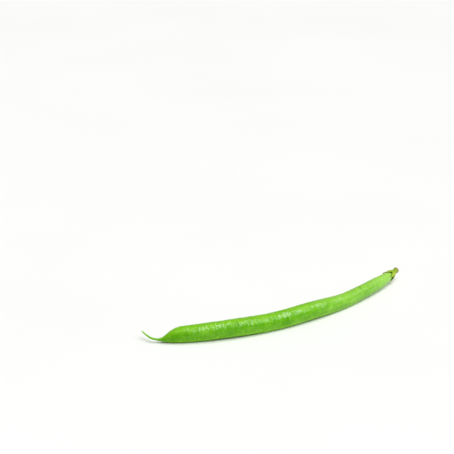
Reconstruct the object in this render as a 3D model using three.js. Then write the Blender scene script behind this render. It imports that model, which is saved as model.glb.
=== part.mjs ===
import * as THREE from 'three';

// A fresh green bean as picked, lying on a table: the pod with its beak, the calyx and the pedicel.
// Lengths are millimetres and angles are degrees. Z is up, and X runs from the beak to the stem.
// A distance is measured along the bean in plan, from the tip of the beak.

// Lengths along the bean
const BEAK_LENGTH = 5.6;
const POD_LENGTH = 134.6;
const POD_END = BEAK_LENGTH + POD_LENGTH;
const PEDICEL_LENGTH = 3.4;
const JOINT_GAP = 0.32;

// The bend in plan: one open bow, a little tighter towards the beak, and the hook of the beak
const BOW_TURN = 62;
const BOW_EVENNESS = 0.65;
const HOOK_TURN = 38;
const HOOK_TIGHTNESS = 8;
const SPINE_STEP = 0.25;

// Heights: three low places touch the table, the beak lifts and the stem end lifts
const FIRST_TOUCH = BEAK_LENGTH + 14;
const TOUCH_PITCH = 40;
const ARCH_HEIGHT = 0.5;
const TOUCH_DEPTH = 0.24;
const BEAK_LIFT = 1.9;
const BEAK_LIFT_POWER = 3.6;
const STEM_LIFT = 1.75;
const STEM_LIFT_REACH = 40;
const STEM_LIFT_START = POD_END - STEM_LIFT_REACH;
const STEM_LIFT_POWER = 1.6;

// Half the thickness from suture to suture, at distances from the root of the beak
const BEAK_TIP_HALF = 0.32;
const POD_PROFILE = [
  [0, 0.5],
  [1.8, 0.58],
  [3.2, 0.95],
  [4.6, 1.62],
  [6.3, 2.42],
  [8.4, 3.08],
  [10.5, 3.48],
  [14, 3.72],
  [20, 3.86],
  [33, 3.94],
  [48, 4.04],
  [64, 4.02],
  [81, 3.88],
  [96, 3.46],
  [110, 3.14],
  [120, 2.92],
  [126, 2.62],
  [130, 2.24],
  [132.6, 1.84],
  [POD_LENGTH, 1.44],
];
const SHOULDER = BEAK_LENGTH + 14;
const NECK = POD_END - 12;
const END_ROUNDING = 0.5;
const TIP_ROUNDING = 0.3;

// The section of the pod: an oval with its two sutures on the long axis, the front one below the flank
const SUTURE_ROLL = -50;
const UNDERSIDE = -90;
const FLANK_RATIO = 0.93;
const SUTURE_GROOVE_DEPTH = 0.14;
const SUTURE_RIDGE_HEIGHT = 0.12;
const SUTURE_RIDGE_OFFSET = 10;
const SUTURE_RIDGE_WIDTH = 6;
const SUTURE_GROOVE_WIDTH = 5;
const FULL_RELIEF_HALF = 2.6;

// The swellings over the seeds
const SEED_COUNT = 11;
const FIRST_SEED = BEAK_LENGTH + 14.5;
const SEED_PITCH = 9.7;
const SEED_DRIFT = 0.9;
const SEED_DRIFT_STEP = 2.4;
const SEED_HALF_LENGTH = 3.4;
const SEED_SWELL = 0.2;

// The calyx: a disc of thin leaf, cupped round the end of the pod and cut into pointed teeth
const CALYX_THICKNESS = 0.5;
const CALYX_BASE_RADIUS = 1.25;
const CALYX_CORNER = 1.2;
const CALYX_CUP_LENGTH = 3.3;
const CALYX_CUP_ANGLE = 75;
const CALYX_BACK = POD_END + JOINT_GAP + CALYX_THICKNESS / 2;
const TOOTH_HALF_WIDTH = 34;
const CALYX_TEETH = [
  { at: 96, length: 2.8, flare: -4 },
  { at: 168, length: 1.8, flare: 36 },
  { at: 238, length: 1.2, flare: 20 },
  { at: 312, length: 1.3, flare: 30 },
  { at: 24, length: 1.2, flare: 10 },
];

// The pedicel: a short thick stalk with a swollen torn end
const PEDICEL_START = CALYX_BACK + CALYX_THICKNESS / 2 + JOINT_GAP;
const PEDICEL_PROFILE = [
  [0, 1.42],
  [0.6, 1.32],
  [1.3, 1.22],
  [2.2, 1.26],
  [2.9, 1.42],
  [3.2, 1.42],
  [PEDICEL_LENGTH, 1.28],
];
const CUT_HOLLOW = 0.18;

// Fineness
const POD_SIDES = 36;
const POD_STATION_STEP = 1.25;
const ROUNDING_RINGS = 3;
const CALYX_SIDES = 50;
const CALYX_RINGS = 10;
const CUP_STEPS = 24;
const PEDICEL_SIDES = 20;
const PEDICEL_STATION_STEP = 0.4;

// Colours
const POD_COLOUR = 0x6fa62b;
const CALYX_COLOUR = 0x7d6a2e;
const PEDICEL_COLOUR = 0x94984a;

const radians = THREE.MathUtils.degToRad;
const clamp = THREE.MathUtils.clamp;

// A smooth function through [position, value] pairs
function smoothThrough(pairs) {
  const positions = pairs.map(([position]) => position);
  const values = pairs.map(([, value]) => value);
  const interpolant = new THREE.CubicInterpolant(positions, values, 1);
  const last = positions[positions.length - 1];
  return (position) => interpolant.evaluate(clamp(position, positions[0], last))[0];
}

const podHalf = smoothThrough(POD_PROFILE);
const pedicelRadius = smoothThrough(PEDICEL_PROFILE);

// Half the thickness from suture to suture, without the rounding of the two ends
function halfThickness(distance) {
  if (distance < BEAK_LENGTH) {
    return THREE.MathUtils.lerp(BEAK_TIP_HALF, POD_PROFILE[0][1], distance / BEAK_LENGTH);
  }
  return podHalf(distance - BEAK_LENGTH);
}

// Radius of the oval section at an angle from its front suture
function ovalRadius(half, fromSuture) {
  const along = Math.cos(radians(fromSuture));
  const across = Math.sin(radians(fromSuture));
  return half / Math.hypot(along, across / FLANK_RATIO);
}

// Angle between two directions in a section, from 0 to 180
function angleBetween(first, second) {
  const turn = THREE.MathUtils.euclideanModulo(first - second, 360);
  return Math.min(turn, 360 - turn);
}

function bell(offset, width) {
  return Math.exp(-((offset / width) ** 2));
}

// A groove between two low ridges along each suture
function sutureRelief(fromSuture) {
  const nearest = Math.min(fromSuture, 180 - fromSuture);
  const ridge = SUTURE_RIDGE_HEIGHT * bell(nearest - SUTURE_RIDGE_OFFSET, SUTURE_RIDGE_WIDTH);
  const groove = SUTURE_GROOVE_DEPTH * bell(nearest, SUTURE_GROOVE_WIDTH);
  return ridge - groove;
}

// The flanks swell over each seed, unevenly spaced
function seedRelief(distance, fromSuture) {
  let swell = 0;
  for (let seed = 0; seed < SEED_COUNT; seed += 1) {
    const centre = FIRST_SEED + seed * SEED_PITCH + SEED_DRIFT * Math.sin(SEED_DRIFT_STEP * seed);
    swell += SEED_SWELL * bell(distance - centre, SEED_HALF_LENGTH);
  }
  return swell * Math.sin(radians(fromSuture)) ** 2;
}

// Direction of the bean in plan
function headingAt(distance) {
  if (distance < BEAK_LENGTH) {
    return -HOOK_TURN * (1 - (distance / BEAK_LENGTH) ** HOOK_TIGHTNESS);
  }
  return BOW_TURN * ((distance - BEAK_LENGTH) / POD_LENGTH) ** BOW_EVENNESS;
}

// Height of the middle of the section over the table
function heightAt(distance) {
  const half = halfThickness(clamp(distance, SHOULDER, NECK));
  const down = ovalRadius(half, angleBetween(SUTURE_ROLL, UNDERSIDE));
  const arch = ARCH_HEIGHT * Math.sin((Math.PI * (distance - FIRST_TOUCH)) / TOUCH_PITCH) ** 2;
  const beak = BEAK_LIFT * Math.max(0, 1 - distance / FIRST_TOUCH) ** BEAK_LIFT_POWER;
  const risen = Math.max(0, (distance - STEM_LIFT_START) / STEM_LIFT_REACH);
  const stem = STEM_LIFT * risen ** STEM_LIFT_POWER;
  return down + arch - TOUCH_DEPTH + beak + stem;
}

// The plan of the spine, walked in small steps
function walkSpine(length) {
  const points = [new THREE.Vector2(0, 0)];
  for (let distance = 0; distance < length; distance += SPINE_STEP) {
    const heading = radians(headingAt(distance + SPINE_STEP / 2));
    const last = points[points.length - 1];
    points.push(new THREE.Vector2(
      last.x + SPINE_STEP * Math.cos(heading),
      last.y + SPINE_STEP * Math.sin(heading),
    ));
  }
  return points;
}

const SPINE_END = PEDICEL_START + PEDICEL_LENGTH;
const SPINE_PLAN = walkSpine(SPINE_END + 1);
const CHORD = Math.atan2(
  SPINE_PLAN[SPINE_PLAN.length - 1].y,
  SPINE_PLAN[SPINE_PLAN.length - 1].x,
);

// The spine at a distance: its place, and the section's directions to the bowed side and up
function spineAt(distance) {
  const steps = clamp(distance / SPINE_STEP, 0, SPINE_PLAN.length - 2);
  const index = Math.floor(steps);
  const plan = SPINE_PLAN[index].clone().lerp(SPINE_PLAN[index + 1], steps - index);
  plan.rotateAround(new THREE.Vector2(0, 0), -CHORD);
  const heading = radians(headingAt(distance)) - CHORD;
  const climb = (heightAt(distance + SPINE_STEP) - heightAt(distance)) / SPINE_STEP;
  const forward = new THREE.Vector3(Math.cos(heading), Math.sin(heading), climb).normalize();
  const side = new THREE.Vector3(Math.sin(heading), -Math.cos(heading), 0);
  const up = new THREE.Vector3().crossVectors(side, forward);
  return { place: new THREE.Vector3(plan.x, plan.y, heightAt(distance)), side, up };
}

// A point of a section: the angle is 0 at the bowed side and 90 on top
function sectionPoint({ place, side, up }, radius, angle) {
  return place.clone()
    .addScaledVector(side, radius * Math.cos(radians(angle)))
    .addScaledVector(up, radius * Math.sin(radians(angle)));
}

// A point round the spine at a distance along it
function aroundSpine(distance, radius, angle) {
  return sectionPoint(spineAt(distance), radius, angle);
}

// The pod's own section: towards the beak the narrowing section keeps to its front suture
function podSection(distance) {
  const section = spineAt(distance);
  const narrowing = halfThickness(SHOULDER) - halfThickness(Math.min(distance, SHOULDER));
  section.place = sectionPoint(section, narrowing, SUTURE_ROLL);
  return section;
}

// A point of the pod's skin: an oval with sutures and seed swellings, flat where it touches the table
function podPoint(distance, radius, angle) {
  const fromSuture = angleBetween(angle, SUTURE_ROLL);
  const fullness = clamp(radius / FULL_RELIEF_HALF, 0, 1) ** 2;
  const relief = fullness * (sutureRelief(fromSuture) + seedRelief(distance, fromSuture));
  const point = sectionPoint(podSection(distance), ovalRadius(radius, fromSuture) + relief, angle);
  point.z = Math.max(point.z, 0);
  return point;
}

// Moves every point of a lathed body, given as distance, radius and angle, to its place
function bend(geometry, placePoint) {
  const position = geometry.getAttribute('position');
  for (let index = 0; index < position.count; index += 1) {
    const x = position.getX(index);
    const z = position.getZ(index);
    const angle = THREE.MathUtils.radToDeg(Math.atan2(-x, z));
    const point = placePoint(position.getY(index), Math.hypot(x, z), angle);
    position.setXYZ(index, point.x, point.y, point.z);
  }
  geometry.computeVertexNormals();
  return geometry;
}

// Distances of the pod's rings: close together where its two ends round off
function podStations() {
  const stations = [];
  for (let ring = 0; ring < ROUNDING_RINGS; ring += 1) {
    stations.push(TIP_ROUNDING * (1 - Math.cos((ring * Math.PI) / 2 / ROUNDING_RINGS)));
  }
  const stretch = POD_END - TIP_ROUNDING - END_ROUNDING;
  const count = Math.round(stretch / POD_STATION_STEP);
  for (let ring = 0; ring <= count; ring += 1) {
    stations.push(TIP_ROUNDING + (stretch * ring) / count);
  }
  for (let ring = 1; ring <= ROUNDING_RINGS; ring += 1) {
    stations.push(POD_END - END_ROUNDING * (1 - Math.sin((ring * Math.PI) / 2 / ROUNDING_RINGS)));
  }
  return stations;
}

// How full the section is at the two rounded ends, from 0 at the point to 1
function endFullness(distance) {
  const tip = clamp((TIP_ROUNDING - distance) / TIP_ROUNDING, 0, 1);
  const end = clamp((distance - POD_END + END_ROUNDING) / END_ROUNDING, 0, 1);
  return Math.sqrt(1 - tip ** 2) * Math.sqrt(1 - end ** 2);
}

function podGeometry() {
  const profile = podStations().map((distance) => new THREE.Vector2(
    halfThickness(distance) * endFullness(distance),
    distance,
  ));
  return bend(new THREE.LatheGeometry(profile, POD_SIDES), podPoint);
}

// Length and flare of the calyx's edge at an angle, raised where a tooth stands
function toothAt(angle) {
  let length = 0;
  let flare = 0;
  for (const tooth of CALYX_TEETH) {
    const nearness = Math.max(0, 1 - angleBetween(angle, tooth.at) / TOOTH_HALF_WIDTH);
    length += tooth.length * nearness;
    flare += tooth.flare * nearness;
  }
  return { length, flare };
}

// Slope of the cupped leaf at an arc from its middle: 0 is flat across, 90 runs along the pod
function cupSlope(arc, flare) {
  const folding = THREE.MathUtils.smoothstep(arc, CALYX_BASE_RADIUS, CALYX_BASE_RADIUS + CALYX_CORNER);
  const opening = THREE.MathUtils.smoothstep(arc, CALYX_BASE_RADIUS + CALYX_CORNER, CALYX_CUP_LENGTH + 1);
  return radians(CALYX_CUP_ANGLE * folding - flare * opening);
}

// A point of the calyx: the disc's radius from 0 to 1 is walked along the cupped leaf
function calyxPoint(layer, fraction, angle) {
  const { length, flare } = toothAt(angle);
  const arc = fraction * (CALYX_CUP_LENGTH + length);
  const stride = arc / CUP_STEPS;
  let radius = 0;
  let depth = 0;
  for (let step = 0; step < CUP_STEPS; step += 1) {
    const slope = cupSlope((step + 0.5) * stride, flare);
    radius += stride * Math.cos(slope);
    depth += stride * Math.sin(slope);
  }
  const slope = cupSlope(arc, flare);
  return aroundSpine(
    CALYX_BACK - depth + layer * Math.cos(slope),
    radius + layer * Math.sin(slope),
    angle,
  );
}

function calyxGeometry() {
  const half = CALYX_THICKNESS / 2;
  const inner = [];
  const outer = [];
  for (let ring = 0; ring <= CALYX_RINGS; ring += 1) {
    inner.push(new THREE.Vector2(ring / CALYX_RINGS, -half));
    outer.unshift(new THREE.Vector2(ring / CALYX_RINGS, half));
  }
  const disc = new THREE.LatheGeometry([...inner, ...outer], CALYX_SIDES);
  return bend(disc, calyxPoint);
}

function pedicelGeometry() {
  const rings = Math.round(PEDICEL_LENGTH / PEDICEL_STATION_STEP);
  const profile = [new THREE.Vector2(0, PEDICEL_START)];
  for (let ring = 0; ring <= rings; ring += 1) {
    const along = (ring * PEDICEL_LENGTH) / rings;
    profile.push(new THREE.Vector2(pedicelRadius(along), PEDICEL_START + along));
  }
  profile.push(new THREE.Vector2(0, PEDICEL_START + PEDICEL_LENGTH - CUT_HOLLOW));
  return bend(new THREE.LatheGeometry(profile, PEDICEL_SIDES), aroundSpine);
}

function podMaterial() {
  return new THREE.MeshStandardMaterial({ color: POD_COLOUR, roughness: 0.42, metalness: 0 });
}

function calyxMaterial() {
  return new THREE.MeshStandardMaterial({ color: CALYX_COLOUR, roughness: 0.8, metalness: 0 });
}

function pedicelMaterial() {
  return new THREE.MeshStandardMaterial({ color: PEDICEL_COLOUR, roughness: 0.7, metalness: 0 });
}

function namedMesh(name, geometry, material) {
  const mesh = new THREE.Mesh(geometry, material);
  mesh.name = name;
  return mesh;
}

const bean = new THREE.Group();
bean.add(namedMesh('pod', podGeometry(), podMaterial()));
bean.add(namedMesh('calyx', calyxGeometry(), calyxMaterial()));
bean.add(namedMesh('pedicel', pedicelGeometry(), pedicelMaterial()));

// The origin is on the table, under the middle of the bean's box
const middle = new THREE.Box3().setFromObject(bean).getCenter(new THREE.Vector3());
bean.position.set(-middle.x, -middle.y, 0);

export default bean;
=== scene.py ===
"""A fresh green bean lying on a pale table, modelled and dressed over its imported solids.

Sizes are in millimetres and angles in degrees, and MM turns a size into Blender's metres where a
vertex, light or camera is placed. A distance is measured along the bean, from the tip of the beak.
"""

import logging
import math
from collections.abc import Sequence
from dataclasses import dataclass, field
from enum import Enum

import bmesh
import bpy
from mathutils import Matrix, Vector, noise


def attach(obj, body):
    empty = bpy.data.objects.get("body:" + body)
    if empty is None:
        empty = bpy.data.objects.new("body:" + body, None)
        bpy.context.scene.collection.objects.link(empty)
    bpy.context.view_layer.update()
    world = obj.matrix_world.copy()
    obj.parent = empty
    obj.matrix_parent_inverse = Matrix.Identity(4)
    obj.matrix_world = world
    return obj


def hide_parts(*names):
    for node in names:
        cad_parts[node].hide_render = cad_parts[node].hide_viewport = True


MM = 0.001
FULL_TURN = 360.0
HALF_TURN = 180.0
QUARTER_TURN = 90.0
TOP = 90.0
MERGE_DISTANCE = 1e-5

# Places of the sockets for colours on the Mix node, which has others for numbers and vectors
MIX_SHARE = 0
MIX_FIRST = 6
MIX_SECOND = 7
MIX_RESULT = 2

Socket = bpy.types.NodeSocket

log = logging.getLogger("green_bean")
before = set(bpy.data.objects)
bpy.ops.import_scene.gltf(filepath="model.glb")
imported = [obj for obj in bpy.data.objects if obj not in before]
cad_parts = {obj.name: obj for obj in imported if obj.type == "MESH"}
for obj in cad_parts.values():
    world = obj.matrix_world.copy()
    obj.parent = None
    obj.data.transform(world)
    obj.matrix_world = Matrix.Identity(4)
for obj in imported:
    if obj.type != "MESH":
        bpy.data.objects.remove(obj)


def clamp(value: float, low: float, high: float) -> float:
    """Hold a value between two limits."""
    return min(max(value, low), high)


def lerp(start: float, end: float, share: float) -> float:
    """Walk a share of the way from one value to another."""
    return start + (end - start) * share


def smoothstep(value: float, low: float, high: float) -> float:
    """Rise smoothly from 0 at low to 1 at high."""
    share = clamp((value - low) / (high - low), 0.0, 1.0)
    return share * share * (3.0 - 2.0 * share)


def bell(offset: float, width: float) -> float:
    """Fall off on both sides of zero as a bell does."""
    return math.exp(-((offset / width) ** 2))


def cosine(angle: float) -> float:
    """Cosine of an angle in degrees."""
    return math.cos(math.radians(angle))


def sine(angle: float) -> float:
    """Sine of an angle in degrees."""
    return math.sin(math.radians(angle))


def angle_between(first: float, second: float) -> float:
    """Angle between two directions in a section, from 0 to 180."""
    turn = (first - second) % FULL_TURN
    return min(turn, FULL_TURN - turn)


def linear(hex_colour: int) -> tuple[float, float, float, float]:
    """Turn a colour written as on a screen into the linear colour that a shader takes.

    Args:
        hex_colour: The colour as 0xRRGGBB.

    Returns:
        Red, green, blue and an alpha of 1, in linear light.
    """
    channels = [(hex_colour >> shift & 0xFF) / 255.0 for shift in (16, 8, 0)]
    red, green, blue = (c / 12.92 if c <= 0.04045 else ((c + 0.055) / 1.055) ** 2.4 for c in channels)
    return (red, green, blue, 1.0)


@dataclass(frozen=True)
class Ramp:
    """A smooth change of a value: it gives start up to low, and end from high on."""

    low: float
    high: float
    start: float
    end: float

    def at(self, value: float) -> float:
        """Give the result for a value."""
        return lerp(self.start, self.end, smoothstep(value, self.low, self.high))


class SmoothCurve:
    """A smooth function through chosen [position, value] pairs."""

    def __init__(self, pairs: Sequence[tuple[float, float]]) -> None:
        """Keep the pairs and work out the slope at each.

        Args:
            pairs: Positions and values, in rising order of position.
        """
        self.positions = [position for position, _ in pairs]
        self.values = [value for _, value in pairs]
        rises = [
            (self.values[k + 1] - self.values[k]) / (self.positions[k + 1] - self.positions[k])
            for k in range(len(pairs) - 1)
        ]
        self.slopes = [rises[0]]
        for before, after in zip(rises, rises[1:]):
            self.slopes.append((before + after) / 2.0)
        self.slopes.append(rises[-1])

    def at(self, position: float) -> float:
        """Read the function at a position, held at its two ends.

        Args:
            position: Where to read it.

        Returns:
            The value there.
        """
        if position <= self.positions[0]:
            return self.values[0]
        if position >= self.positions[-1]:
            return self.values[-1]
        k = 0
        while self.positions[k + 1] < position:
            k += 1
        span = self.positions[k + 1] - self.positions[k]
        t = (position - self.positions[k]) / span
        start = (1 + 2 * t) * (1 - t) ** 2 * self.values[k]
        leave = t * (1 - t) ** 2 * span * self.slopes[k]
        end = t * t * (3 - 2 * t) * self.values[k + 1]
        arrive = t * t * (t - 1) * span * self.slopes[k + 1]
        return start + leave + end + arrive


@dataclass
class Section:
    """A cross-section of the bean: its middle, and its directions to the bowed side and up."""

    place: Vector
    side: Vector
    up: Vector

    def point(self, radius: float, angle: float) -> Vector:
        """Find a point of the section.

        Args:
            radius: Distance from the middle.
            angle: 0 at the bowed side and 90 on top.

        Returns:
            The point, in millimetres.
        """
        return self.place + self.side * (radius * cosine(angle)) + self.up * (radius * sine(angle))


@dataclass(frozen=True)
class PodProfile:
    """Thickness of the pod along its length, from the tip of the beak to the stem end."""

    beak_length: float = 5.6
    beak_tip_half: float = 0.32
    pod_length: float = 134.6
    shoulder_reach: float = 14.0
    neck_reach: float = 12.0
    halves: tuple[tuple[float, float], ...] = (
        (0, 0.5), (1.8, 0.58), (3.2, 0.95), (4.6, 1.62), (6.3, 2.42), (8.4, 3.08), (10.5, 3.48),
        (14, 3.72), (20, 3.86), (33, 3.94), (48, 4.04), (64, 4.02), (81, 3.88), (96, 3.46),
        (110, 3.14), (120, 2.92), (126, 2.62), (130, 2.24), (132.6, 1.84), (134.6, 1.44),
    )

    @property
    def pod_end(self) -> float:
        """Distance of the stem end of the pod."""
        return self.beak_length + self.pod_length

    @property
    def shoulder(self) -> float:
        """Distance where the pod has reached its fullness, behind the beak."""
        return self.beak_length + self.shoulder_reach

    @property
    def neck(self) -> float:
        """Distance where the pod begins to narrow towards the stem."""
        return self.pod_end - self.neck_reach

    def half(self, distance: float) -> float:
        """Half the thickness from suture to suture, without the rounding of the two ends.

        Args:
            distance: Distance along the bean.

        Returns:
            Half the thickness.
        """
        if distance < self.beak_length:
            return lerp(self.beak_tip_half, self.halves[0][1], distance / self.beak_length)
        return SmoothCurve(self.halves).at(distance - self.beak_length)


@dataclass
class Spine:
    """The line through the middle of the bean: one open bow in plan that touches down three times."""

    profile: PodProfile = field(default_factory=PodProfile)
    bow_turn: float = 62.0
    bow_evenness: float = 0.65
    hook_turn: float = 38.0
    hook_tightness: float = 8.0
    stride: float = 0.25
    length: float = 145.74
    touch_pitch: float = 40.0
    arch_height: float = 0.5
    touch_depth: float = 0.24
    beak_lift: float = 1.9
    beak_lift_power: float = 3.6
    stem_lift: float = 1.75
    stem_lift_reach: float = 40.0
    stem_lift_power: float = 1.6
    underside_share: float = 0.97
    start_x: float = -66.654
    start_y: float = 11.4975
    plan: list[Vector] = field(default_factory=list, repr=False)
    chord: float = 0.0

    def __post_init__(self) -> None:
        """Walk the plan in small strides, from the tip of the beak to past the stalk's end."""
        self.plan = [Vector((0.0, 0.0))]
        for stride in range(math.ceil(self.length / self.stride)):
            heading = self.heading((stride + 0.5) * self.stride)
            step = Vector((cosine(heading), sine(heading))) * self.stride
            self.plan.append(self.plan[-1] + step)
        self.chord = math.degrees(math.atan2(self.plan[-1].y, self.plan[-1].x))

    def heading(self, distance: float) -> float:
        """Direction of the bean in plan, in degrees.

        Args:
            distance: Distance along the bean.

        Returns:
            The direction, before the whole plan is turned level.
        """
        beak = self.profile.beak_length
        if distance < beak:
            return -self.hook_turn * (1.0 - (distance / beak) ** self.hook_tightness)
        share = (distance - beak) / self.profile.pod_length
        return self.bow_turn * share**self.bow_evenness

    def height(self, distance: float) -> float:
        """Height of the middle of the section over the table.

        Args:
            distance: Distance along the bean.

        Returns:
            The height, low where the bean touches down and raised at its two ends.
        """
        profile = self.profile
        full = profile.half(clamp(distance, profile.shoulder, profile.neck))
        down = full * self.underside_share
        arch = self.arch_height * math.sin(math.pi * (distance - profile.shoulder) / self.touch_pitch) ** 2
        beak = self.beak_lift * max(0.0, 1.0 - distance / profile.shoulder) ** self.beak_lift_power
        risen = max(0.0, (distance - profile.pod_end) / self.stem_lift_reach + 1.0)
        return down + arch - self.touch_depth + beak + self.stem_lift * risen**self.stem_lift_power

    def at(self, distance: float) -> Section:
        """Find the cross-section at a distance.

        Args:
            distance: Distance along the bean.

        Returns:
            Its place in the model's own frame, and its directions.
        """
        strides = clamp(distance / self.stride, 0.0, len(self.plan) - 2.0)
        index = int(strides)
        plan = self.plan[index].lerp(self.plan[index + 1], strides - index)
        level_x = plan.x * cosine(self.chord) + plan.y * sine(self.chord)
        level_y = plan.y * cosine(self.chord) - plan.x * sine(self.chord)
        heading = self.heading(distance) - self.chord
        # Lay a table much wider than any view.
        climb = (self.height(distance + self.stride) - self.height(distance)) / self.stride
        forward = Vector((cosine(heading), sine(heading), climb)).normalized()
        side = Vector((sine(heading), -cosine(heading), 0.0))
        place = Vector((self.start_x + level_x, self.start_y + level_y, self.height(distance)))
        return Section(place, side, side.cross(forward))


def turned_blank(profile: Sequence[tuple[float, float]], sides: int) -> bmesh.types.BMesh:
    """Spin a profile once round the Y axis into a closed blank, to be bent afterwards.

    Args:
        profile: Pairs of radius and distance, from one end to the other.
        sides: How many sides the blank has.

    Returns:
        The blank, in millimetres.
    """
    blank = bmesh.new()
    points = [
        bmesh.ops.create_vert(blank, co=(radius, distance, 0.0))["vert"][0]
        for radius, distance in profile
    ]
    for point, following in zip(points, points[1:]):
        blank.edges.new((point, following))
    bmesh.ops.spin(
        blank,
        geom=blank.verts[:] + blank.edges[:],
        cent=(0.0, 0.0, 0.0),
        axis=(0.0, 1.0, 0.0),
        angle=math.tau,
        steps=sides,
        use_merge=True,
    )
    bmesh.ops.remove_doubles(blank, verts=blank.verts[:], dist=MERGE_DISTANCE)
    return blank


def blank_place(point: bmesh.types.BMVert) -> tuple[float, float, float]:
    """Read where a point of a blank lies, as its distance, its radius and its angle in degrees."""
    return point.co.y, math.hypot(point.co.x, point.co.z), math.degrees(math.atan2(point.co.z, point.co.x))


def finished_piece(name: str, mesh: bmesh.types.BMesh, sharpest: float) -> bpy.types.Object:
    """Turn a mesh in millimetres into a smooth object in metres, at the origin.

    Args:
        name: The piece's name.
        mesh: The mesh, which is used up.
        sharpest: Edges that turn by more than this many degrees stay sharp.

    Returns:
        The object, linked into the scene.
    """
    bmesh.ops.scale(mesh, vec=(MM, MM, MM), verts=mesh.verts[:])
    data = bpy.data.meshes.new(name)
    mesh.to_mesh(data)
    mesh.free()
    data.shade_smooth()
    data.set_sharp_from_angle(angle=math.radians(sharpest))
    piece = bpy.data.objects.new(name, data)
    bpy.context.scene.collection.objects.link(piece)
    return piece


class Slot(Enum):
    """Material slots of the record; the pieces here do not take their finishes from them."""

    POD_SKIN = "pod_skin"
    DRIED_CALYX = "dried_calyx"
    STALK = "stalk"


@dataclass(frozen=True)
class Pattern:
    """A cloudy noise: how many features go to a metre, its stretch, and its finer layers."""

    scale: float
    along: float = 1.0
    around: float = 1.0
    detail: float = 3.0
    roughness: float = 0.6


class FinishNodes:
    """The nodes of one finish: adds them, joins them, and gives back the socket to go on from."""

    def __init__(self, name: str) -> None:
        """Start a material with a plain Principled surface.

        Args:
            name: The material's name.
        """
        self.material = bpy.data.materials.new(name)
        self.material.use_nodes = True
        self.tree = self.material.node_tree
        self.surface = self.tree.nodes["Principled BSDF"]

    def join(self, value: object, target: Socket) -> None:
        """Link a socket to another, or set a plain value on it.

        Args:
            value: The socket or the plain value.
            target: The socket that takes it.
        """
        if isinstance(value, Socket):
            self.tree.links.new(value, target)
        else:
            target.default_value = value

    def fill(self, node: bpy.types.Node, **values: object) -> None:
        """Fill a node's sockets, each named with underscores for its spaces."""
        for name, value in values.items():
            self.join(value, node.inputs[name.replace("_", " ")])

    def add(self, kind: str, output: str, **values: object) -> Socket:
        """Add a node and fill its sockets.

        Args:
            kind: The node's type.
            output: Which of its outputs to go on from.
            values: What its sockets take, each named with underscores for its spaces.

        Returns:
            Socket of the output.
        """
        node = self.tree.nodes.new(kind)
        self.fill(node, **values)
        return node.outputs[output]

    def carried(self, name: str, output: str = "Fac") -> Socket:
        """Read an attribute that the mesh carries.

        Args:
            name: The attribute's name.
            output: Which output of the node to take.

        Returns:
            Socket of the attribute.
        """
        node = self.tree.nodes.new("ShaderNodeAttribute")
        node.attribute_name = name
        return node.outputs[output]

    def cloud(self, place: Socket, pattern: Pattern) -> Socket:
        """Add a cloudy noise, stretched along or round the bean.

        Args:
            place: Socket of the place that it is read at.
            pattern: Its scale, stretch and finer layers.

        Returns:
            Socket of its value, about 0.5 on average.
        """
        stretch = (pattern.along, pattern.around, pattern.around)
        return self.add(
            "ShaderNodeTexNoise",
            "Fac",
            Vector=self.add("ShaderNodeMapping", "Vector", Vector=place, Scale=stretch),
            Scale=pattern.scale,
            Detail=pattern.detail,
            Roughness=pattern.roughness,
        )

    def specks(self, place: Socket, scale: float) -> Socket:
        """Scatter so many points to a metre, and give the distance to the nearest, in cells."""
        return self.add("ShaderNodeTexVoronoi", "Distance", Vector=place, Scale=scale, Randomness=1.0)

    def ramp(self, value: Socket, ramp: Ramp) -> Socket:
        """Send a value through a ramp.

        Args:
            value: Socket of the value.
            ramp: The ramp.

        Returns:
            Socket of the result.
        """
        node = self.tree.nodes.new("ShaderNodeMapRange")
        node.interpolation_type = "SMOOTHSTEP"
        for socket, number in zip(node.inputs, (value, ramp.low, ramp.high, ramp.start, ramp.end)):
            self.join(number, socket)
        return node.outputs["Result"]

    def calculate(self, operation: str, first: object, second: object) -> Socket:
        """Combine two values.

        Args:
            operation: The Math node's name for it.
            first: The first value, or its socket.
            second: The second value, or its socket.

        Returns:
            Socket of the result.
        """
        node = self.tree.nodes.new("ShaderNodeMath")
        node.operation = operation
        self.join(first, node.inputs[0])
        self.join(second, node.inputs[1])
        return node.outputs["Value"]

    def blend(self, share: object, first: object, second: object) -> Socket:
        """Mix two colours.

        Args:
            share: How much of the second colour, from 0 to 1.
            first: Colour at 0.
            second: Colour at 1.

        Returns:
            Socket of the mixed colour.
        """
        node = self.tree.nodes.new("ShaderNodeMix")
        node.data_type = "RGBA"
        self.join(share, node.inputs[MIX_SHARE])
        self.join(first, node.inputs[MIX_FIRST])
        self.join(second, node.inputs[MIX_SECOND])
        return node.outputs[MIX_RESULT]

    def bumps(
        self, height: Socket, depth: float = 0.08, strength: float = 0.5, under: Socket | None = None
    ) -> Socket:
        """Raise the surface's shading by a height.

        Args:
            height: Socket of the height, from 0 to 1.
            depth: How deep 1 is, in millimetres.
            strength: Share of the effect.
            under: Normal of a coarser layer of bumps, if there is one.

        Returns:
            Socket of the normal.
        """
        values = {"Height": height, "Distance": depth * MM, "Strength": strength}
        if under is not None:
            values["Normal"] = under
        return self.add("ShaderNodeBump", "Normal", **values)


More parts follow.
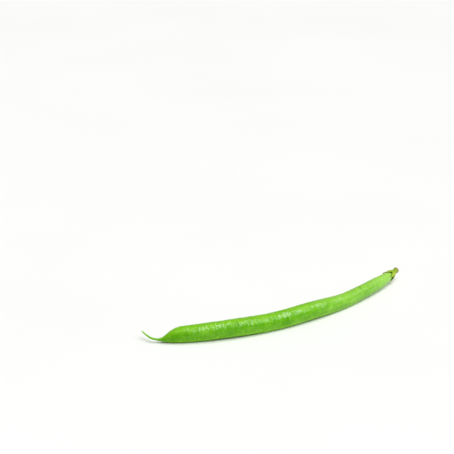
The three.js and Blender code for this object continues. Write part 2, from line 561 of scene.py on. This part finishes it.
@dataclass(frozen=True)
class PodSkin:
    """Fresh bean skin: green, yellower beside the seams and with a painted light that makes it yellower on
    top, with patches of shining wax.
    """

    flank: int = 0x66B004
    deep: int = 0x4E9A00
    light: int = 0x8CCA38
    # Painted light: the yellow-green laid on the top of the bean as it lies, standing in for light from
    # above.
    painted_top_light: int = 0x80C010
    seam_side: int = 0x86C61C
    seam_line: int = 0x5E9E14
    pale: int = 0xB2E070
    scar: int = 0x6E6A2A
    fleck: int = 0xA9D868
    mottle: Pattern = Pattern(260.0, 0.45, 1.0, roughness=0.55)
    mottle_deep: Ramp = Ramp(0.32, 0.55, 0.75, 0.0)
    mottle_light: Ramp = Ramp(0.5, 0.7, 0.0, 0.6)
    streak: Pattern = Pattern(600.0, 1.7, 0.4)
    streak_light: Ramp = Ramp(0.52, 0.7, 0.0, 0.5)
    streak_deep: Ramp = Ramp(0.3, 0.46, 0.45, 0.0)
    beside_seam: Ramp = Ramp(0.04, 0.4, 0.75, 0.0)
    on_seam: Ramp = Ramp(0.008, 0.045, 0.75, 0.0)
    fleck_scale: float = 900.0
    fleck_spot: Ramp = Ramp(0.12, 0.26, 0.4, 0.0)
    grain: Pattern = Pattern(1300.0, 1.3, 0.6)
    grain_depth: float = 0.16
    grain_strength: float = 0.8
    pore_scale: float = 1900.0
    pore_spot: Ramp = Ramp(0.0, 0.5, 0.0, 1.0)
    pore_depth: float = 0.02
    pore_strength: float = 0.25
    wear: Pattern = Pattern(800.0, 1.2, 0.8, 2.0)
    worn_roughness: Ramp = Ramp(0.38, 0.62, 0.16, 0.42)
    wax: Pattern = Pattern(900.0, 1.5, 0.6, roughness=0.65)
    wax_cover: Ramp = Ramp(0.44, 0.58, 0.0, 1.0)
    wax_patch: Pattern = Pattern(230.0, 0.6, 1.0, 2.0, 0.5)
    wax_patch_cover: Ramp = Ramp(0.36, 0.6, 0.2, 1.0)
    gloss: float = 0.14
    coat_roughness: float = 0.15
    coat_ior: float = 1.75
    glow: float = 0.3
    glow_scale: float = 0.002
    glow_radius: tuple[float, float, float] = (0.8, 1.0, 0.2)

    def colour(self, nodes: FinishNodes, place: Socket) -> Socket:
        """Mix the skin's colour from its mottle, streaks, seams, flecks and marks, and a painted top
        light.

        Args:
            nodes: The material's nodes.
            place: Socket of the straightened place.

        Returns:
            Socket of the colour.
        """
        mottle = nodes.cloud(place, self.mottle)
        streak = nodes.cloud(place, self.streak)
        from_seam = nodes.carried("from_seam")
        fleck = nodes.ramp(nodes.specks(place, self.fleck_scale), self.fleck_spot)
        colour = linear(self.flank)
        for share, layer in (
            (nodes.ramp(mottle, self.mottle_deep), self.deep),
            (nodes.ramp(mottle, self.mottle_light), self.light),
            (nodes.ramp(streak, self.streak_light), self.light),
            (nodes.ramp(streak, self.streak_deep), self.deep),
            # Painted top light: yellower where the skin faces up as the bean lies.
            (nodes.carried("painted_top_light"), self.painted_top_light),
            (nodes.ramp(from_seam, self.beside_seam), self.seam_side),
            (nodes.ramp(from_seam, self.on_seam), self.seam_line),
            (nodes.carried("paleness"), self.pale),
            (nodes.calculate("MULTIPLY", fleck, mottle), self.fleck),
            (nodes.carried("crease"), self.deep),
            (nodes.carried("scar"), self.scar),
        ):
            colour = nodes.blend(share, colour, linear(layer))
        return colour

    def waxed(self, nodes: FinishNodes, place: Socket) -> Socket:
        """Say how much shining wax lies on a place: fine specks of it, in patches.

        Args:
            nodes: The material's nodes.
            place: Socket of the straightened place.

        Returns:
            Socket of the share.
        """
        fine = nodes.ramp(nodes.cloud(place, self.wax), self.wax_cover)
        patch = nodes.ramp(nodes.cloud(place, self.wax_patch), self.wax_patch_cover)
        spread = nodes.calculate("MULTIPLY", patch, nodes.carried("waxed"))
        return nodes.calculate("MULTIPLY", fine, spread)

    def made(self) -> bpy.types.Material:
        """Build the material from its nodes.

        Returns:
            The material.
        """
        nodes = FinishNodes("pod_skin")
        place = nodes.carried("straightened", "Vector")
        pores = nodes.ramp(nodes.specks(place, self.pore_scale), self.pore_spot)
        grained = nodes.bumps(nodes.cloud(place, self.grain), self.grain_depth, self.grain_strength)
        normal = nodes.bumps(pores, self.pore_depth, self.pore_strength, grained)
        nodes.fill(
            nodes.surface,
            Base_Color=self.colour(nodes, place),
            Roughness=nodes.ramp(nodes.cloud(place, self.wear), self.worn_roughness),
            Normal=normal,
            Specular_IOR_Level=self.gloss,
            Subsurface_Weight=self.glow,
            Subsurface_Radius=self.glow_radius,
            Subsurface_Scale=self.glow_scale,
            Coat_Weight=self.waxed(nodes, place),
            Coat_Roughness=self.coat_roughness,
            Coat_IOR=self.coat_ior,
            Coat_Normal=normal,
        )
        return nodes.material


@dataclass(frozen=True)
class DriedLeaf:
    """Drying calyx leaf: olive to straw, brown along its edges and tips, with paler ribs."""

    leaf: int = 0x7EAC06
    straw: int = 0x9CA816
    brown: int = 0xA09038
    rib: int = 0xC8CC48
    mottle: Pattern = Pattern(700.0, detail=4.0)
    dried: Ramp = Ramp(0.35, 0.68, 0.0, 1.0)
    edge_mottle: float = 0.6
    browned: Ramp = Ramp(1.15, 1.5, 0.0, 0.8)
    fibre: Pattern = Pattern(1700.0, 0.35, 1.6)
    roughness: float = 0.68

    def made(self) -> bpy.types.Material:
        """Build the material from its nodes.

        Returns:
            The material.
        """
        nodes = FinishNodes("dried_leaf")
        place = nodes.carried("straightened", "Vector")
        mottle = nodes.cloud(place, self.mottle)
        colour = nodes.blend(nodes.ramp(mottle, self.dried), linear(self.leaf), linear(self.straw))
        colour = nodes.blend(nodes.carried("rib"), colour, linear(self.rib))
        ragged = nodes.calculate("MULTIPLY", mottle, self.edge_mottle)
        toward_edge = nodes.calculate("ADD", nodes.carried("toward_edge"), ragged)
        colour = nodes.blend(nodes.ramp(toward_edge, self.browned), colour, linear(self.brown))
        fibre = nodes.cloud(place, self.fibre)
        nodes.fill(
            nodes.surface,
            Base_Color=colour,
            Roughness=self.roughness,
            Normal=nodes.bumps(fibre),
        )
        return nodes.material


@dataclass(frozen=True)
class StalkBark:
    """The stalk's skin: olive green with paler fibres, brown and dry where it was torn off."""

    skin: int = 0x7A9E04
    pale: int = 0x9CAC24
    torn: int = 0x8A6C30
    fibre: Pattern = Pattern(2200.0, 0.25, 1.5)
    fibre_pale: Ramp = Ramp(0.4, 0.7, 0.0, 0.8)
    roughness: float = 0.6

    def made(self) -> bpy.types.Material:
        """Build the material from its nodes.

        Returns:
            The material.
        """
        nodes = FinishNodes("stalk_bark")
        fibre = nodes.cloud(nodes.carried("straightened", "Vector"), self.fibre)
        colour = nodes.blend(nodes.ramp(fibre, self.fibre_pale), linear(self.skin), linear(self.pale))
        colour = nodes.blend(nodes.carried("torn"), colour, linear(self.torn))
        nodes.fill(
            nodes.surface,
            Base_Color=colour,
            Roughness=self.roughness,
            Normal=nodes.bumps(fibre),
        )
        return nodes.material


@dataclass(frozen=True)
class PaleTable:
    """A plain pale table with the faintest unevenness."""

    pale: int = 0xEFEFEE
    shade: int = 0xEAEBE9
    mottle: Pattern = Pattern(9.0, detail=2.0, roughness=0.5)
    roughness: float = 0.6

    def made(self) -> bpy.types.Material:
        """Build the material from its nodes.

        Returns:
            The material.
        """
        nodes = FinishNodes("pale_table")
        place = nodes.tree.nodes.new("ShaderNodeTexCoord").outputs["Object"]
        mottle = nodes.cloud(place, self.mottle)
        colour = nodes.blend(mottle, linear(self.pale), linear(self.shade))
        nodes.fill(nodes.surface, Base_Color=colour, Roughness=self.roughness)
        return nodes.material


@dataclass(frozen=True)
class Crease:
    """A shallow nick in the skin, from one place to another, each a distance and an angle."""

    start: tuple[float, float]
    end: tuple[float, float]
    depth: float = 0.12
    width: float = 0.45
    farthest: float = 4.0
    rim_share: float = 0.45
    rim_at: float = 2.0
    rim_width: float = 0.9
    shade_width: float = 1.1

    def away(self, distance: float, angle: float, half: float) -> float:
        """Measure how far a place of the skin is from the nick.

        Args:
            distance: Distance of the place along the bean.
            angle: Angle of the place.
            half: Half the bean's thickness there.

        Returns:
            Distance to the nick in its widths, held at the farthest that counts.
        """
        reach = self.farthest * self.width
        first, last = sorted((self.start[0], self.end[0]))
        if not first - reach < distance < last + reach:
            return self.farthest
        per_degree = math.radians(half)
        end = Vector((self.end[0] - self.start[0], (self.end[1] - self.start[1]) * per_degree))
        turn = (angle - self.start[1] + HALF_TURN) % FULL_TURN - HALF_TURN
        place = Vector((distance - self.start[0], turn * per_degree))
        share = clamp(place.dot(end) / end.length_squared, 0.0, 1.0)
        return min((place - end * share).length / self.width, self.farthest)

    def cut(self, away: float) -> float:
        """Height of the skin at so many widths from the nick: a furrow between two low rims."""
        return self.depth * (self.rim_share * bell(away - self.rim_at, self.rim_width) - bell(away, 1.0))


@dataclass(frozen=True)
class Scar:
    """A small healed spot: a shallow pit with a low rim round it."""

    at: float
    angle: float
    size: float
    reach: float = 3.0
    rim_height: float = 0.06
    rim_at: float = 1.5
    rim_width: float = 0.6
    pit_depth: float = 0.05
    pit_width: float = 0.9

    def away(self, distance: float, angle: float, half: float) -> float:
        """Measure how far a place of the skin is from the scar.

        Args:
            distance: Distance of the place along the bean.
            angle: Angle of the place.
            half: Half the bean's thickness there.

        Returns:
            Distance to the scar in its sizes.
        """
        aside = math.radians(angle_between(angle, self.angle)) * half
        return math.hypot(self.at - distance, aside) / self.size

    def raised(self, away: float) -> float:
        """Height of the skin at so many sizes from the scar."""
        rim = self.rim_height * bell(away - self.rim_at, self.rim_width)
        return rim - self.pit_depth * bell(away, self.pit_width)


@dataclass(frozen=True)
class Waves:
    """An unevenness of the skin: its waves to a millimetre along and round the bean."""

    along: float
    around: float
    shift: tuple[float, float, float] = (0.0, 0.0, 0.0)

    def at(self, straight: Vector) -> float:
        """Read it at a place on the straightened bean, from about -1 to 1."""
        stretched = Vector((straight.x * self.along, straight.y * self.around, straight.z * self.around))
        return noise.noise(stretched + Vector(self.shift))


@dataclass
class Pod:
    """The pod and its beak: one grown skin with two sutures, seed swellings, wrinkles and nicks."""

    spine: Spine
    rings: int = 700
    sides: int = 126
    ends_rings: int = 6
    tip_rounding: float = 0.3
    end_rounding: float = 0.5
    crowding: float = 0.5
    suture_roll: float = -50.0
    flank_ratio: float = 0.93
    groove_depth: float = 0.16
    groove_width: float = 3.6
    ridge_height: float = 0.12
    ridge_offset: float = 10.0
    ridge_width: float = 5.5
    full_relief_half: float = 2.6
    seed_count: int = 11
    first_seed: float = 20.1
    seed_pitch: float = 9.7
    seed_drift: float = 0.9
    seed_drift_step: float = 2.4
    seed_half_length: float = 3.4
    seed_swell: float = 0.2
    wrinkle: float = 0.12
    wrinkle_patch: Waves = Waves(0.11, 0.11, (3.1, 0.0, 7.7))
    wrinkle_waves: Waves = Waves(1.05, 0.28)
    wrinkle_fine: Waves = Waves(2.3, 0.5, (0.0, 0.0, 9.0))
    wrinkle_fine_share: float = 0.5
    dimple: float = 0.07
    dimple_waves: Waves = Waves(0.1, 0.22, (0.0, 0.0, 4.0))
    ripple: float = 0.06
    ripple_waves: Waves = Waves(0.9, 0.9)
    creases: tuple[Crease, ...] = (
        Crease((41.3, 68.0), (42.2, 36.0), 0.2, 0.36),
        Crease((59.3, 42.0), (58.9, 6.0), 0.08, 0.4),
        Crease((88.0, 150.0), (89.4, 185.0), 0.12, 0.4),
        Crease((33.5, 215.0), (35.0, 250.0), 0.12, 0.4),
        Crease((112.0, 60.0), (112.8, 95.0), 0.08, 0.35),
    )
    crease_shade: float = 0.7
    scars: tuple[Scar, ...] = (
        Scar(19.5, 6.0, 0.32), Scar(73.0, 12.0, 0.2), Scar(97.0, 70.0, 0.22), Scar(52.0, 168.0, 0.3),
        Scar(105.0, 205.0, 0.26), Scar(28.0, 150.0, 0.2), Scar(124.0, 20.0, 0.2), Scar(66.0, 100.0, 0.18),
    )
    scar_shade: float = 0.8
    pale_tip: Ramp = Ramp(1.0, 8.6, 0.4, 0.0)
    pale_shoulder: Ramp = Ramp(8.6, 20.6, 0.75, 0.0)
    pale_back: Ramp = Ramp(130.0, 165.0, 0.0, 1.0)
    pale_narrowing: Ramp = Ramp(70.0, 105.0, 0.0, 0.2)
    pale_stem: Ramp = Ramp(114.2, 136.2, 0.0, 0.3)
    # How much painted top light a place gets, by its angle from straight up as the bean lies.
    top_light_share: Ramp = Ramp(10.0, 70.0, 0.6, 0.0)
    waxed_angle: float = 80.0
    waxed_round: Ramp = Ramp(45.0, 95.0, 1.0, 0.15)
    waxed_along: Ramp = Ramp(12.0, 34.0, 0.3, 1.0)
    sharpest: float = 70.0

    def stations(self) -> list[float]:
        """Choose the distances of the rings, close together where the two ends round off.

        Returns:
            The distances, from the beak to the stem end.
        """
        last = self.spine.profile.pod_end
        quarter = math.pi / 2 / self.ends_rings
        places = [self.tip_rounding * (1 - math.cos(ring * quarter)) for ring in range(self.ends_rings)]
        stretch = last - self.tip_rounding - self.end_rounding
        places += [self.tip_rounding + stretch * ring / self.rings for ring in range(self.rings + 1)]
        for ring in range(1, self.ends_rings + 1):
            places.append(last - self.end_rounding * (1 - math.sin(ring * quarter)))
        return places

    def fullness(self, distance: float) -> float:
        """Say how full the section is, from 0 at the very ends to 1.

        Args:
            distance: Distance along the bean.

        Returns:
            The share of the thickness.
        """
        tip = clamp((self.tip_rounding - distance) / self.tip_rounding, 0.0, 1.0)
        end = clamp((distance - self.spine.profile.pod_end) / self.end_rounding + 1.0, 0.0, 1.0)
        return math.sqrt(1.0 - tip**2) * math.sqrt(1.0 - end**2)

    def section(self, distance: float) -> Section:
        """Find the pod's own section: towards the beak, the narrowing section keeps to its front suture.

        Args:
            distance: Distance along the bean.

        Returns:
            The section.
        """
        profile = self.spine.profile
        section = self.spine.at(distance)
        narrowing = profile.half(profile.shoulder) - profile.half(min(distance, profile.shoulder))
        section.place = section.point(narrowing, self.suture_roll)
        return section

    def grown_relief(self, distance: float, from_suture: float) -> float:
        """Height of the grown shape over the oval: the two sutures, and a swelling over each seed.

        Args:
            distance: Distance along the bean.
            from_suture: Angle from the front suture.

        Returns:
            The height.
        """
        nearest = min(from_suture, HALF_TURN - from_suture)
        ridge = self.ridge_height * bell(nearest - self.ridge_offset, self.ridge_width)
        groove = self.groove_depth * bell(nearest, self.groove_width)
        swell = 0.0
        for seed in range(self.seed_count):
            drift = self.seed_drift * math.sin(self.seed_drift_step * seed)
            centre = self.first_seed + seed * self.seed_pitch + drift
            swell += self.seed_swell * bell(distance - centre, self.seed_half_length)
        return ridge - groove + swell * sine(from_suture) ** 2

    def skin_relief(self, straight: Vector) -> float:
        """Height of the skin's own unevenness: cross wrinkles, shallow dimples and fine ripples.

        Args:
            straight: The place on the bean, straightened, in millimetres.

        Returns:
            The height.
        """
        patch = 0.5 + 0.5 * self.wrinkle_patch.at(straight)
        across = self.wrinkle_waves.at(straight) + self.wrinkle_fine_share * self.wrinkle_fine.at(straight)
        dimples = self.dimple * self.dimple_waves.at(straight)
        return self.wrinkle * patch * across + dimples + self.ripple * self.ripple_waves.at(straight)

    def marks(
        self, distance: float, angle: float, radius: float, oval: float
    ) -> tuple[float, float, float]:
        """Add up what the nicks and the scars do to a place of the skin.

        Args:
            distance: Distance of the place along the bean.
            angle: Angle of the place.
            radius: Half the bean's thickness there, from suture to suture.
            oval: Half its thickness in the direction of the place.

        Returns:
            The height that they add, and how nicked and how scarred the place is.
        """
        relief = 0.0
        nicked = 0.0
        for nick in self.creases:
            away = nick.away(distance, angle, radius)
            relief += nick.cut(away)
            nicked = max(nicked, bell(away, nick.shade_width))
        scarred = 0.0
        for scar in self.scars:
            if abs(scar.at - distance) < scar.reach * scar.size:
                away = scar.away(distance, angle, oval)
                relief += scar.raised(away)
                scarred = max(scarred, bell(away, scar.pit_width))
        return relief, self.crease_shade * nicked, self.scar_shade * scarred

    def build(self) -> bpy.types.Object:
        """Bend the turned blank along the spine, and raise its relief.

        Returns:
            The finished piece.
        """
        profile = self.spine.profile
        stations = self.stations()
        blank = turned_blank([(profile.half(s) * self.fullness(s), s) for s in stations], self.sides)
        bmesh.ops.recalc_face_normals(blank, faces=blank.faces[:])
        layers = blank.verts.layers
        straightened = layers.float_vector.new("straightened")
        from_seam, paleness, crease, scar, painted_top_light, waxed = [
            layers.float.new(name)
            for name in ("from_seam", "paleness", "crease", "scar", "painted_top_light", "waxed")
        ]
        sections: dict[float, Section] = {}
        for point in blank.verts:
            distance, radius, turn = blank_place(point)
            key = round(distance, 4)
            if key not in sections:
                sections[key] = self.section(distance)
            angle = self.suture_roll + turn - math.degrees(self.crowding * 0.5 * sine(2 * turn))
            from_suture = angle_between(angle, self.suture_roll)
            oval = radius / math.hypot(cosine(from_suture), sine(from_suture) / self.flank_ratio)
            straight = Vector((distance, oval * cosine(angle), oval * sine(angle)))
            full = clamp(radius / self.full_relief_half, 0.0, 1.0) ** 2
            relief = self.grown_relief(distance, from_suture) + self.skin_relief(straight)
            marks, nicked, scarred = self.marks(distance, angle, radius, oval)
            point.co = sections[key].point(oval + full * (relief + marks), angle)
            point.co.z = max(point.co.z, 0.0)
            point[straightened] = straight * MM
            point[from_seam] = min(from_suture, HALF_TURN - from_suture) / QUARTER_TURN
            point[paleness] = self.paleness(distance, from_suture)
            point[crease] = nicked
            point[scar] = scarred
            # Painted top light: a share by the angle from straight up.
            point[painted_top_light] = self.top_light_share.at(angle_between(angle, TOP))
            off_wax = angle_between(angle, self.waxed_angle)
            point[waxed] = self.waxed_round.at(off_wax) * self.waxed_along.at(distance)
        return finished_piece("pod_skin", blank, self.sharpest)

    def paleness(self, distance: float, from_suture: float) -> float:
        """Say how pale the skin is: the beak, the back suture beside it, and the stem end.

        Args:
            distance: Distance along the bean.
            from_suture: Angle from the front suture.

        Returns:
            A share from 0 to 1.
        """
        beak = self.pale_tip.at(distance)
        back = self.pale_shoulder.at(distance) * self.pale_back.at(from_suture)
        stem = self.pale_narrowing.at(distance) + self.pale_stem.at(distance)
        return clamp(beak + back + stem, 0.0, 1.0)

    def dress(self, piece: bpy.types.Object, finish: PodSkin) -> None:
        """Give the skin its finish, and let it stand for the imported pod.

        Args:
            piece: The piece.
            finish: Its finish.
        """
        piece.data.materials.append(finish.made())
        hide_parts("pod")
        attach(piece, "root")


@dataclass(frozen=True)
class Tooth:
    """A pointed tooth of the calyx: its angle, its length, and how far it bends away from the pod."""

    at: float
    length: float
    flare: float


@dataclass
class Calyx:
    """The dried calyx: a thin leaf cupped round the end of the pod and cut into uneven teeth."""

    spine: Spine
    rings: int = 44
    sides: int = 220
    back: float = 140.42
    thickness: float = 0.2
    base_radius: float = 1.25
    corner: float = 1.2
    cup_length: float = 3.8
    cup_angle: float = 80.0
    cup_steps: int = 24
    tooth_half_width: float = 34.0
    point_sharpness: float = 1.15
    rib_height: float = 0.12
    rib_width: float = 5.0
    rib_start: Ramp = Ramp(0.15, 0.4, 0.0, 1.0)
    rib_shade: float = 0.6
    curl: float = 0.16
    curl_waves: float = 1.1
    curl_start: Ramp = Ramp(0.3, 1.0, 0.0, 1.0)
    ragged: float = 0.16
    ragged_waves: float = 6.0
    ragged_shift: float = 2.0
    lip_reach: float = 1.0
    sharpest: float = 50.0
    teeth: tuple[Tooth, ...] = (
        Tooth(96.0, 2.8, -10.0), Tooth(168.0, 1.8, 24.0), Tooth(238.0, 1.2, 10.0), Tooth(312.0, 2.6, -2.0),
        Tooth(24.0, 2.8, -7.0),
    )

    def edge(self, angle: float) -> tuple[float, float]:
        """Length of the cup and flare of its edge at an angle.

        Args:
            angle: Angle round the pod.

        Returns:
            The length along the leaf, and how far it bends away.
        """
        length = self.cup_length
        flare = 0.0
        for tooth in self.teeth:
            nearness = max(0.0, 1.0 - angle_between(angle, tooth.at) / self.tooth_half_width)
            length += tooth.length * nearness**self.point_sharpness
            flare += tooth.flare * nearness
        round_edge = Vector((cosine(angle), sine(angle), 0.0)) * self.ragged_waves
        tatter = noise.noise(round_edge + Vector((0.0, 0.0, self.ragged_shift)))
        return length + self.ragged * tatter, flare

    def slope(self, arc: float, flare: float) -> float:
        """Slope of the cupped leaf: 0 is flat across the pod's end, 90 runs along the pod.

        Args:
            arc: Length along the leaf from its middle.
            flare: How far its edge bends away.

        Returns:
            The slope in degrees.
        """
        folded = smoothstep(arc, self.base_radius, self.base_radius + self.corner)
        opened = smoothstep(arc, self.base_radius + self.corner, self.cup_length + self.lip_reach)
        return self.cup_angle * folded - flare * opened

    def build(self) -> bpy.types.Object:
        """Cup a turned disc, raise its ribs, curl its edge, and thicken it.

        Returns:
            The finished piece.
        """
        leaf = turned_blank([(ring / self.rings, 0.0) for ring in range(self.rings + 1)], self.sides)
        straightened = leaf.verts.layers.float_vector.new("straightened")
        toward_edge = leaf.verts.layers.float.new("toward_edge")
        rib = leaf.verts.layers.float.new("rib")
        for point in leaf.verts:
            _, share, angle = blank_place(point)
            length, flare = self.edge(angle)
            arc = share * length
            stride = arc / self.cup_steps
            radius = 0.0
            depth = 0.0
            for step in range(self.cup_steps):
                slope = self.slope((step + 0.5) * stride, flare)
                radius += stride * cosine(slope)
                depth += stride * sine(slope)
            slope = self.slope(arc, flare)
            nearest = min(angle_between(angle, tooth.at) for tooth in self.teeth)
            ribbed = bell(nearest, self.rib_width) * self.rib_start.at(share)
            cupped = Vector((radius * cosine(angle), radius * sine(angle), depth))
            curled = self.curl * noise.noise(cupped * self.curl_waves) * self.curl_start.at(share)
            lift = self.rib_height * ribbed + curled + self.thickness / 2.0
            section = self.spine.at(self.back - depth + lift * cosine(slope))
            point.co = section.point(radius + lift * sine(slope), angle)
            point[straightened] = Vector((depth, radius * cosine(angle), radius * sine(angle))) * MM
            point[toward_edge] = share
            point[rib] = self.rib_shade * ribbed
        bmesh.ops.recalc_face_normals(leaf, faces=leaf.faces[:])
        bmesh.ops.solidify(leaf, geom=leaf.faces[:], thickness=self.thickness)
        return finished_piece("calyx_cup", leaf, self.sharpest)

    def dress(self, piece: bpy.types.Object, finish: DriedLeaf) -> None:
        """Give the leaf its finish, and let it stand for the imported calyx.

        Args:
            piece: The piece.
            finish: Its finish.
        """
        piece.data.materials.append(finish.made())
        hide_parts("calyx")
        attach(piece, "root")


@dataclass
class Pedicel:
    """The short ribbed stalk that the pod was picked with, swollen and torn at its end."""

    spine: Spine
    start: float = 140.5
    rings: int = 90
    sides: int = 96
    ribs: int = 6
    rib_depth: float = 0.07
    unevenness: float = 0.07
    uneven_waves: float = 2.1
    rim_tatter: float = 0.2
    tatter_waves: float = 3.3
    tatter_reach: float = 0.7
    hollow: float = 0.3
    hollow_rings: tuple[float, ...] = (0.86, 0.68, 0.5, 0.32, 0.16, 0.0)
    torn_start: float = 1.3
    torn_full: float = 0.3
    torn_shade: float = 0.9
    sharpest: float = 60.0
    shape: tuple[tuple[float, float], ...] = (
        (0.0, 1.44), (0.84, 1.42), (1.44, 1.32), (2.14, 1.22), (3.04, 1.26), (3.74, 1.42), (4.04, 1.42),
        (4.24, 1.28),
    )

    @property
    def length(self) -> float:
        """Length of the stalk."""
        return self.shape[-1][0]

    def build(self) -> bpy.types.Object:
        """Bend a turned stalk along the spine, rib it, and tear its end.

        Returns:
            The finished piece.
        """
        radius_along = SmoothCurve(self.shape)
        outline = [(0.0, 0.0)]
        for ring in range(self.rings + 1):
            along = self.length * ring / self.rings
            outline.append((radius_along.at(along), along))
        rim_radius = outline[-1][0]
        for inward in self.hollow_rings:
            outline.append((rim_radius * inward, self.length - self.hollow * (1.0 - inward**2)))
        stalk = turned_blank(outline, self.sides)
        bmesh.ops.recalc_face_normals(stalk, faces=stalk.faces[:])
        straightened = stalk.verts.layers.float_vector.new("straightened")
        torn = stalk.verts.layers.float.new("torn")
        rim = Ramp(self.length - self.tatter_reach, self.length, 0.0, self.rim_tatter)
        brown = Ramp(self.length - self.torn_start, self.length - self.torn_full, 0.0, self.torn_shade)
        for point in stalk.verts:
            along, radius, angle = blank_place(point)
            rounded = Vector((along, radius * cosine(angle), radius * sine(angle)))
            ribbed = self.rib_depth * cosine(self.ribs * angle)
            uneven = self.unevenness * noise.noise(rounded * self.uneven_waves)
            tatter = noise.noise(rounded * self.tatter_waves) * rim.at(along)
            section = self.spine.at(self.start + along + tatter)
            point.co = section.point(radius * (1.0 + ribbed + uneven), angle)
            point[straightened] = rounded * MM
            point[torn] = brown.at(along)
        return finished_piece("pedicel_stalk", stalk, self.sharpest)

    def dress(self, piece: bpy.types.Object, finish: StalkBark) -> None:
        """Give the stalk its finish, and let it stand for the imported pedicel.

        Args:
            piece: The piece.
            finish: Its finish.
        """
        piece.data.materials.append(finish.made())
        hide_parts("pedicel")
        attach(piece, "root")


@dataclass(frozen=True)
class Lamp:
    """A broad distant lamp: its strength, its width, and the azimuth and elevation it shines from."""

    name: str
    strength: float
    width: float
    azimuth: float
    elevation: float


@dataclass
class Studio:
    """The pale table, the soft light and the camera."""

    table_half: float = 4000.0
    table_sharpest: float = 30.0
    lens: float = 100.0
    camera_azimuth: float = -28.17
    camera_elevation: float = 22.0
    camera_place: tuple[float, float, float] = (-273.96, -451.58, 257.62)
    nearest_seen: float = 10.0
    farthest_seen: float = 100000.0
    fill_strength: float = 0.28
    key: Lamp = Lamp("key_light", 3.35, 66.0, 42.0, 62.0)

    def build(self) -> None:
        """Lay the table, hang the key light, fill the room and set the camera."""
        self.lay_table(PaleTable())
        self.hang(self.key)
        self.fill_room()
        self.set_camera()

    def lay_table(self, finish: PaleTable) -> None:
        """Lay a table much wider than any view, and mark it as the stage.

        Args:
            finish: The table's finish.
        """
        mesh = bmesh.new()
        bmesh.ops.create_grid(mesh, x_segments=2, y_segments=2, size=self.table_half)
        table = finished_piece("pale_table", mesh, self.table_sharpest)
        table.data.materials.append(finish.made())

    def hang(self, lamp: Lamp) -> None:
        """Hang one distant lamp.

        Args:
            lamp: The lamp.
        """
        light = bpy.data.lights.new(lamp.name, "SUN")
        light.energy = lamp.strength
        light.angle = math.radians(lamp.width)
        hung = bpy.data.objects.new(lamp.name, light)
        tilt = math.radians(QUARTER_TURN - lamp.elevation)
        hung.rotation_euler = (tilt, 0.0, math.radians(lamp.azimuth))
        bpy.context.scene.collection.objects.link(hung)

    def fill_room(self) -> None:
        """Fill the room with even white light."""
        world = bpy.data.worlds.new("white_room")
        world.use_nodes = True
        sky = world.node_tree.nodes["Background"]
        sky.inputs["Color"].default_value = (1.0, 1.0, 1.0, 1.0)
        sky.inputs["Strength"].default_value = self.fill_strength
        bpy.context.scene.world = world

    def set_camera(self) -> None:
        """Stand the camera where the photograph was taken from."""
        lens = bpy.data.cameras.new("camera")
        lens.lens = self.lens
        lens.clip_start = self.nearest_seen * MM
        lens.clip_end = self.farthest_seen * MM
        camera = bpy.data.objects.new("camera", lens)
        camera.location = Vector(self.camera_place) * MM
        tilt = math.radians(QUARTER_TURN - self.camera_elevation)
        camera.rotation_euler = (tilt, 0.0, math.radians(self.camera_azimuth))
        bpy.context.scene.collection.objects.link(camera)
        bpy.context.scene.camera = camera
        bpy.context.scene.view_settings.view_transform = "Standard"
        bpy.context.scene.cycles.use_denoising = True


def main() -> None:
    """Build and dress the bean's three pieces in order, then the studio."""
    logging.basicConfig(level=logging.INFO, format="%(name)s: %(message)s")
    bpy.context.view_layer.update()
    spine = Spine()
    for part, finish in (
        (Pod(spine), PodSkin()),
        (Calyx(spine), DriedLeaf()),
        (Pedicel(spine), StalkBark()),
    ):
        piece = part.build()
        part.dress(piece, finish)
        log.info("%s has %d faces", piece.name, len(piece.data.polygons))
    Studio().build()


if __name__ == "__main__":
    main()
